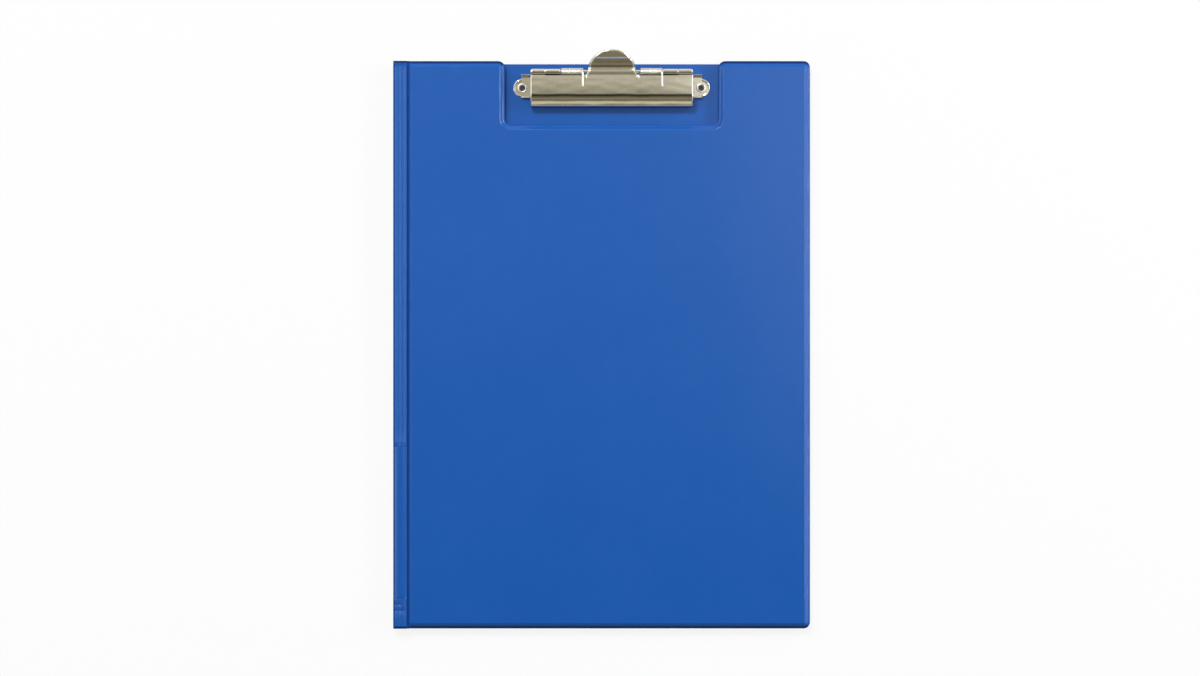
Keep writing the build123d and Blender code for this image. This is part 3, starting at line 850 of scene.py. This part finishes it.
def jawWithLever():
    # One sheet. Rows run from the hem up the nose, over the round and the flat top to the rear
    # edge, and on over the lever. Columns run across, with the ends bent down.
    front = -(clip["jawFront"] - half)
    top = jawLine()
    hem = clip["floor"] + clip["lipGap"] + half + clip["hemRadius"]
    inside = front + 2 * clip["hemRadius"]
    line = joined(
        run((inside, hem + clip["hemReturn"]), (inside, hem), 0.25),
        arc((front + clip["hemRadius"], hem), clip["hemRadius"], 0, -180, 10),
        run((front, hem), (front, top[0, 1] - 0.1), 0.5),
        top,
    )
    y = line[:, :1]
    leverX, leverY, leverInset, rim, span = leverPlan()
    middle = mirrored((lever["halfWidth"] - rim)[::-1], (lever["halfWidth"] - rim[-1]) * span, -1)
    blank = 0 * middle
    flat = clip["halfWidth"] - clip["endBend"]
    side = stations([lever["halfWidth"] + 0.2, lever["halfWidth"] + 0.4, flat - 0.15, flat], 2.5)
    outX, outDrop = jawEnd(side, 0)
    inX, inDrop = jawEnd(side, clip["sheet"])
    x = mirrored(outX, middle, -1)
    ahead = -clip["flangeStart"] - y
    full = smoothStep(ahead, -0.5, 1.2) * smoothStep(line[:, 1:], top[0, 1], 2)
    ends = mirrored(np.append(np.zeros(len(outX) - 5), np.linspace(0, 1, 5)), blank)
    more = (clip["endFlange"] - clip["endBend"]) * full * ends[None, :]

    # The lever's rims start on the jaw, and its flat has slight waves.
    first, last = len(outX), len(outX) + len(middle)
    rise = lever["rimHeight"] * smoothStep(y - lever["neckY"], -0.35, 0.7)
    ridge = np.zeros((len(line), len(x)))
    edge = bump(np.abs(middle), lever["halfWidth"] - lever["rimWidth"] / 2,
                lever["rimWidth"] * lever["rimSpread"])
    ridge[:, first:last] = rise * edge[None, :]
    wave = np.sin(2 * math.pi * x / 31 + 0.7)[None, :] * np.sin(y / 1.1)
    wave = wave + np.sin(2 * math.pi * x / 17 + 2.0)[None, :] * np.sin(y / 0.8 + 1.3)
    wave = jawShape["waveDepth"] * (wave - 2) * smoothStep(ahead, 0.5, 2)
    outside = raised(line, x, half - mirrored(outDrop, blank) - more + ridge + wave)
    inDrop = mirrored(inDrop, blank + clip["sheet"])
    inner = raised(line, mirrored(inX, middle, -1),
                   half - inDrop - more + lever["rimUnder"] * ridge + wave)

    upper, lower = np.zeros((2, len(leverX), len(x), 3))
    upper[:, first:last], lower[:, first:last] = leverFaces(leverX, leverY, leverInset, top[-1, 1])
    keep = np.ones((len(line) + len(leverX) - 1, len(x) - 1), bool)
    keep[len(line) - 1:, :first] = False
    keep[len(line) - 1:, last - 1:] = False
    return shell(np.vstack([outside, upper]), np.vstack([inner, lower]), keep, seamRows=(-1,))


def jawTab(low, high):
    # Strip from under the jaw's rear edge, down in front of the rod and round under it.
    bend, offset = clip["tabBend"], clip["tabOffset"]
    swing = offset - bend
    level = jawLevel - 0.1
    line = joined(
        arc((-offset - bend, level - bend), bend, 90, 0, 8),
        run((-offset, level - bend), (-offset, swing - knuckle), 0.3),
        arc((-offset + swing, swing - knuckle), swing, 180, 270, 8),
        arc((0, 0), knuckle, -90, -90 + clip["jawCurl"], 30),
    )
    return strip(line, low, high, clip["sheet"])


def rodParts():
    # Long rod, riveted over into a low dome at both ends.
    end = clip["jawKnuckle"][1] + clip["knuckleGap"]
    head, long = clip["rodHead"], clip["rodHeadLong"]
    dome = arc((head - 0.3, end + long - 0.3), 0.3, 0, 90, 5)
    hub = 0.001
    upper = np.vstack([[hub, 0], [clip["rod"], 0], [clip["rod"], end - 0.5], [clip["rod"], end],
                       [head, end], dome, [hub, end + long]])
    lower = upper[::-1] * np.array([1, -1])
    profile = np.vstack([upper, lower])[1:-1]
    return [lathe(profile, 28, "x")]


ear = {"radius": 5.05, "hole": 2.15, "inner": 44.5,
       "rimWidth": 1.15, "rimHeight": 0.35, "rimPlace": 0.52}


def earPart(side):
    # Plate end round a rivet: rays from the hole to the outline, which is the farther of a
    # circle and the end of the plate. A low round rim runs along the outline.
    rivetX, rivetBack = film["rivetSpacing"] / 2, film["rivetSetback"]
    towardsMiddle = rivetX - ear["inner"]
    pastEnd = clip["baseHalf"] - rivetX
    up = clip["baseRear"] + rivetBack
    down = clip["baseFront"] + rivetBack
    meet = math.sqrt(ear["radius"] ** 2 - pastEnd ** 2)
    corners = [(pastEnd, up), (-towardsMiddle, up), (-towardsMiddle, down), (pastEnd, down),
               (pastEnd, meet), (pastEnd, -meet)]
    special = np.array([math.atan2(y, x) for x, y in corners])
    angle = [np.linspace(-math.pi, math.pi, 73), special, special + 1e-3, special - 1e-3]
    angle = np.unique(np.concatenate(angle))
    angle = angle[(angle >= -math.pi) & (angle <= math.pi)]
    c, s = np.cos(angle), np.sin(angle)
    reachX = np.where(c > 0, pastEnd, towardsMiddle) / np.maximum(np.abs(c), 1e-9)
    reachY = np.where(s > 0, up, -down) / np.maximum(np.abs(s), 1e-9)
    reach = np.maximum(ear["radius"], np.minimum(reachX, reachY))
    reach = np.where(c < 0, np.minimum(reachX, reachY), reach)
    rim = np.array([1.6, 1.25, 1.1, 0.95, 0.8, 0.66, 0.52, 0.38, 0.24, 0.1, 0])
    rings = np.column_stack([np.full(len(angle), ear["hole"]), np.full(len(angle), ear["hole"] + 0.9),
                             reach[:, None] - rim[None, :]])
    inset = reach[:, None] - rings
    x = rivetX + rings * c[:, None]
    y = -rivetBack + rings * s[:, None]
    outer = smoothStep(x, clip["halfWidth"], 1.5)
    lift = ear["rimHeight"] * bump(inset, ear["rimPlace"], ear["rimWidth"]) * outer
    floor = clip["floor"]
    top = np.stack([side * x, y, floor + clip["sheet"] + lift], -1)
    bottom = np.stack([side * x, y, np.full(x.shape, floor)], -1)
    return shell(top, bottom, seamRows=(0, -1))


def baseParts():
    # Plate, front lip, rear wall, two rolled knuckles and two ears.
    floor = clip["floor"] + half
    front = clip["baseFront"] + half
    plate = run((clip["baseFront"], floor), (clip["baseRear"], floor), 1.2)
    parts = [strip(plate, -ear["inner"], ear["inner"], clip["sheet"]), earPart(1), earPart(-1)]
    lipTop = clip["floor"] + clip["lipHeight"] - half
    wallTop = clip["floor"] + clip["rearHeight"] - half

    def upright(y, top, low, high):
        thin = half * 0.98
        foot = clip["floor"] + 0.01
        crown = arc((y, top), thin, 180, 0, 8)
        return prism(np.vstack([crown, [[y + thin, foot], [y - thin, foot]]]), low, high)
    parts.append(upright(front, lipTop, -clip["baseHalf"], clip["baseHalf"]))
    parts.append(upright(-knuckle, wallTop, -clip["jawKnuckle"][1], clip["jawKnuckle"][1]))
    for side in (-1, 1):
        ends = sorted((side * clip["jawKnuckle"][1], side * clip["baseHalf"]))
        parts.append(upright(-knuckle, lipTop, *ends))
        line = joined(run((-knuckle, floor), (-knuckle, 0), 0.5),
                      arc((0, 0), knuckle, 180, 180 - clip["baseCurl"], 34))
        ends = sorted(side * x for x in clip["baseKnuckle"])
        parts.append(strip(line, *ends, clip["sheet"]))
    return parts


jawTabs = [jawTab(*sorted(side * x for x in clip["jawKnuckle"])) for side in (-1, 1)]
for name, parts, node, body in (("clipJaw", [jawWithLever()] + jawTabs, "clip_jaw", "jaw"),
                                ("hingeRod", rodParts(), "hinge_rod", "back"),
                                ("clipBase", baseParts(), "clip_base", "back")):
    piece = addPiece(name, onClip(parts), brightNickel, 50)
    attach(piece, body)
    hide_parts(node)

spring = {"wire": 1.0, "radius": 1.65, "ends": (16.0, 28.6), "turns": 11, "stepsPerTurn": 26,
          "startAngle": -40.0, "endAngle": 70.0, "legReach": 8.3, "gap": 0.03, "footRise": 0.6,
          "cornerShare": 0.7}


def softCorner(first, corner, last):
    # Two runs with a round corner: a quadratic curve from before the corner to after it.
    cut = spring["cornerShare"] * min(np.linalg.norm(corner - first), np.linalg.norm(last - corner))
    before = corner + unit(first - corner) * cut
    after = corner + unit(last - corner) * cut
    t = np.linspace(0, 1, 9)[:, None]
    curve = before * (1 - t) ** 2 + 2 * corner * t * (1 - t) + after * t ** 2
    return joined(run(first, before, 1.0), curve, run(after, last, 1.0))


def springTube(start):
    # Helix about the hinge with a straight leg off each end, along the helix's own tangent.
    thick = spring["wire"]
    turns = spring["turns"] + (spring["endAngle"] - spring["startAngle"]) / 360
    rise = spring["ends"][1] - spring["ends"][0] - thick
    share = np.linspace(0, 1, round(turns * spring["stepsPerTurn"]))
    angle = np.radians(spring["startAngle"]) + 2 * math.pi * turns * share
    x = start + thick / 2 + rise * share
    coil = np.column_stack([x, spring["radius"] * np.cos(angle), spring["radius"] * np.sin(angle)])
    onward = coil[-1] - coil[-2]
    back = coil[0] - coil[1]
    level = clip["jawTop"] + thick / 2 + spring["gap"]
    touch = coil[-1] + onward * (level - coil[-1, 2]) / onward[2]
    legEnd = np.array([touch[0], -spring["legReach"], level])
    wallY = -knuckle + half + thick / 2 + spring["gap"]
    bend = coil[0] + back * (wallY - coil[0, 1]) / back[1]
    foot = np.array([bend[0], wallY, clip["floor"] + clip["sheet"] + spring["footRise"]])
    route = joined(softCorner(foot, bend, coil[0]), coil, softCorner(coil[-1], touch, legEnd))
    return tube(route, thick / 2, 12)


for name, node, start in (("leftSpring", "left_spring", -spring["ends"][1]),
                          ("rightSpring", "right_spring", spring["ends"][0])):
    piece = addPiece(name, onClip([springTube(start)]), springNickel, 60)
    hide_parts(node)
    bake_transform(piece)

rivet = {"bore": 1.7, "barrel": 2.1, "head": 2.65, "headHigh": 0.6, "foot": 2.9, "footHigh": 0.5,
         "footRound": 0.3, "recess": 0.05}


def rivetShape():
    # Hollow rivet: a rolled head over the plate, a barrel through the back, and a rolled foot
    # in its recess. Each roll is half an ellipse from the bore to the rim.
    plateTop = hinge[2] + clip["floor"] + clip["sheet"]
    low = rivet["recess"]
    bore, barrel, foot = rivet["bore"], rivet["barrel"], rivet["foot"]

    def roll(rim, height, level, startAngle, steps):
        size = [(rim - bore) / 2, height]
        return arc((0, 0), 1, startAngle, startAngle + 180, steps) * size + [(rim + bore) / 2, level]
    profile = np.vstack([
        roll(rivet["head"], rivet["headHigh"], plateTop, 0, 12),
        [[bore, low + 2 * rivet["footRound"]]],
        roll(foot, rivet["footRound"], low + rivet["footRound"], 180, 10),
        [[foot, low + rivet["footHigh"]], [barrel, low + rivet["footHigh"]], [barrel, plateTop]],
    ])
    return lathe(profile, 44, "z")


for name, node, x in zip(("leftRivet", "rightRivet"), ("left_eyelet", "right_eyelet"), rivetXs):
    points, faces = rivetShape()
    piece = addPiece(name, [(points + [x, rivetY, 0], faces)], rivetNickel, 45)
    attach(piece, "back")
    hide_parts(node)
print("clip made")


# Floor, light and camera

# The floor colour for right under the folder is painted shade.
stage = {
    "floorHalf": 12.0, "floorDrop": 0.0002, "whiteShare": 0.86, "shadedHalf": (0.114, 0.155),
    "overhang": 0.0035, "floorColour": (0.9, 0.9, 0.9), "paintedShadeUnder": (0.12, 0.12, 0.14),
    "light": 0.22, "lightBelow": 0.9, "horizon": -0.05,
    "sides": (0.3, 0.8), "sideColour": (1, 1, 0.97),
}


def makeFloor():
    # Pale floor that keeps the shadow. The camera mostly looks through it at the white behind,
    # and so also sees the folder from below and a cover that is folded round under it. In the
    # metal it is mostly plain white. Right under the folder, seen from above, it is painted dark
    # as shade for the rivets' bores, and lets light up to the back.
    wide = stage["floorHalf"]
    mesh = bpy.data.meshes.new("floor")
    corners = [(-wide, -wide, 0), (wide, -wide, 0), (wide, wide, 0), (-wide, wide, 0)]
    mesh.from_pydata(corners, [], [(0, 1, 2, 3)])
    floor = addObject("floor", mesh)
    floor.location.z = -stage["floorDrop"]
    material, tree, shader = newMaterial("paleFloor", Roughness=0.9)
    place = axesOf(tree, "Object")
    past = [mathNode(tree, "SUBTRACT", mathNode(tree, "ABSOLUTE", place[axis], 0.0), limit)
            for axis, limit in zip("XY", stage["shadedHalf"])]
    past = mathNode(tree, "MAXIMUM", *past)
    beyond = mathNode(tree, "GREATER_THAN", past, 0.0)
    # Painted shade: the floor is dark right under the folder, where it is seen only through the rivets'
    # bores.
    colour = colourBlend(tree, beyond, stage["paintedShadeUnder"], stage["floorColour"])
    feedAll(tree, shader, Base_Color=colour)
    rays = newNode(tree, "LightPath").outputs
    camera = rays["Is Camera Ray"]
    rear = newNode(tree, "NewGeometry").outputs["Backfacing"]
    white = mathNode(tree, "MULTIPLY", beyond, stage["whiteShare"])
    reflected = mathNode(tree, "MULTIPLY", rays["Is Glossy Ray"], white)
    seen = mathNode(tree, "MULTIPLY", camera, mathNode(tree, "MAXIMUM", white, rear))
    below = mathNode(tree, "LESS_THAN", past, stage["overhang"])
    lit = mathNode(tree, "MULTIPLY", rangeOf(tree, camera, 1.0, 0.0), below)
    last = shader.outputs["BSDF"]
    for share, layer in ((reflected, "Emission"),
                         (mathNode(tree, "MAXIMUM", seen, lit), "BsdfTransparent")):
        mix = newNode(tree, "MixShader", Fac=share)
        tree.links.new(last, mix.inputs[1])
        tree.links.new(newNode(tree, layer).outputs[0], mix.inputs[2])
        last = mix.outputs["Shader"]
    tree.links.new(last, tree.nodes["Material Output"].inputs["Surface"])
    mesh.materials.append(material)


# What the metal sees, from the front horizon over the top to the rear one: the sine of the
# direction's tilt to the rear, and a colour.
room = [
    (-1.0, (0.21, 0.18, 0.12)), (-0.992, (0.25, 0.22, 0.16)), (-0.984, (0.7, 0.66, 0.55)),
    (-0.976, (1.0, 0.97, 0.88)), (-0.965, (0.55, 0.5, 0.4)), (-0.95, (0.3, 0.27, 0.19)),
    (-0.91, (0.24, 0.22, 0.16)), (-0.82, (0.2, 0.17, 0.1)), (-0.7, (0.3, 0.28, 0.19)),
    (-0.56, (0.2, 0.19, 0.13)), (-0.42, (0.13, 0.12, 0.08)), (-0.3, (0.035, 0.032, 0.022)),
    (-0.05, (0.03, 0.027, 0.02)), (-0.01, (0.32, 0.32, 0.25)), (0.03, (0.44, 0.43, 0.34)),
    (0.06, (0.41, 0.4, 0.31)), (0.1, (0.54, 0.52, 0.42)), (0.14, (0.66, 0.62, 0.52)),
    (0.3, (0.42, 0.4, 0.34)), (0.6, (0.45, 0.43, 0.37)), (0.85, (0.85, 0.83, 0.77)),
    (1.0, (1.0, 1.0, 0.97)),
]


def makeWorld():
    # White behind the object for the camera, a plain soft room for the light on it, brighter
    # below, where only the back gets it, and the room's darker and lighter parts for the
    # metal, with white to both sides.
    world = bpy.data.worlds.new("room")
    world.use_nodes = True
    scene.world = world
    tree = world.node_tree
    direction = axesOf(tree, "Generated")
    ramp = newNode(tree, "ValToRGB", Fac=rangeOf(tree, direction["Y"], 0.5, 1.0))
    stops = ramp.color_ramp.elements
    while len(stops) < len(room):
        stops.new(0.5)
    for stop, (sine, colour) in zip(stops, room):
        stop.position = (sine + 1) / 2
        stop.color = (*colour, 1)
    start, end = stage["sides"]
    beside = mathNode(tree, "ABSOLUTE", direction["X"], 0.0)
    beside = newNode(tree, "MapRange", Value=beside, From_Min=start, From_Max=end)
    beside.interpolation_type = "SMOOTHSTEP"
    metal = colourBlend(tree, beside.outputs["Result"], ramp.outputs["Color"], stage["sideColour"])
    rays = newNode(tree, "LightPath").outputs
    below = mathNode(tree, "LESS_THAN", direction["Z"], stage["horizon"])
    light = rangeOf(tree, below, stage["light"], stage["lightBelow"])
    light = mathNode(tree, "MAXIMUM", light, rays["Is Camera Ray"])
    feedAll(tree, tree.nodes["Background"], Color=colourBlend(tree, rays["Is Glossy Ray"], light, metal))


# Place, size and watts of each lamp, all aimed at the middle of the folder.
lamps = {
    "keyLamp": ((-0.9, 2.3, 3.0), (0.6, 0.6), 74), "rightLamp": ((1.5, 0.45, 0.62), (1.6, 0.24), 18),
    "leftLamp": ((-1.0, 0.5, 1.0), (1.6, 0.7), 6.5), "sheenLamp": ((0.3, 0.1, 1.2), (0.48, 0.28), 0.45),
}


def makeLamp(name, place, size, power):
    lamp = bpy.data.lights.new(name, "AREA")
    lamp.shape = "RECTANGLE"
    lamp.size, lamp.size_y = size
    lamp.energy = power
    holder = addObject(name, lamp)
    holder.location = place
    holder.rotation_euler = (-holder.location).to_track_quat("-Z", "Y").to_euler()


makeFloor()
makeWorld()
for name, values in lamps.items():
    makeLamp(name, *values)

photo = {
    "width": 1200, "height": 676, "pixelsPerMm": 1.775,
    "middleX": 601.6, "middleY": 344.8, "distance": 1.6,
}


def makeCamera():
    # Straight down, framed so that the photo's pixels per millimetre hold at the cover's face.
    data = bpy.data.cameras.new("camera")
    data.sensor_fit = "HORIZONTAL"
    seenWidth = photo["width"] / photo["pixelsPerMm"] * mm
    data.lens = data.sensor_width * photo["distance"] / seenWidth
    x = (photo["width"] / 2 - photo["middleX"]) / photo["pixelsPerMm"]
    y = (photo["middleY"] - photo["height"] / 2) / photo["pixelsPerMm"]
    scene.camera = addObject("camera", data)
    scene.camera.location = (x * mm, y * mm, closedThick * mm + photo["distance"])


makeCamera()
scene.view_settings.view_transform = "Standard"
print("stage made")
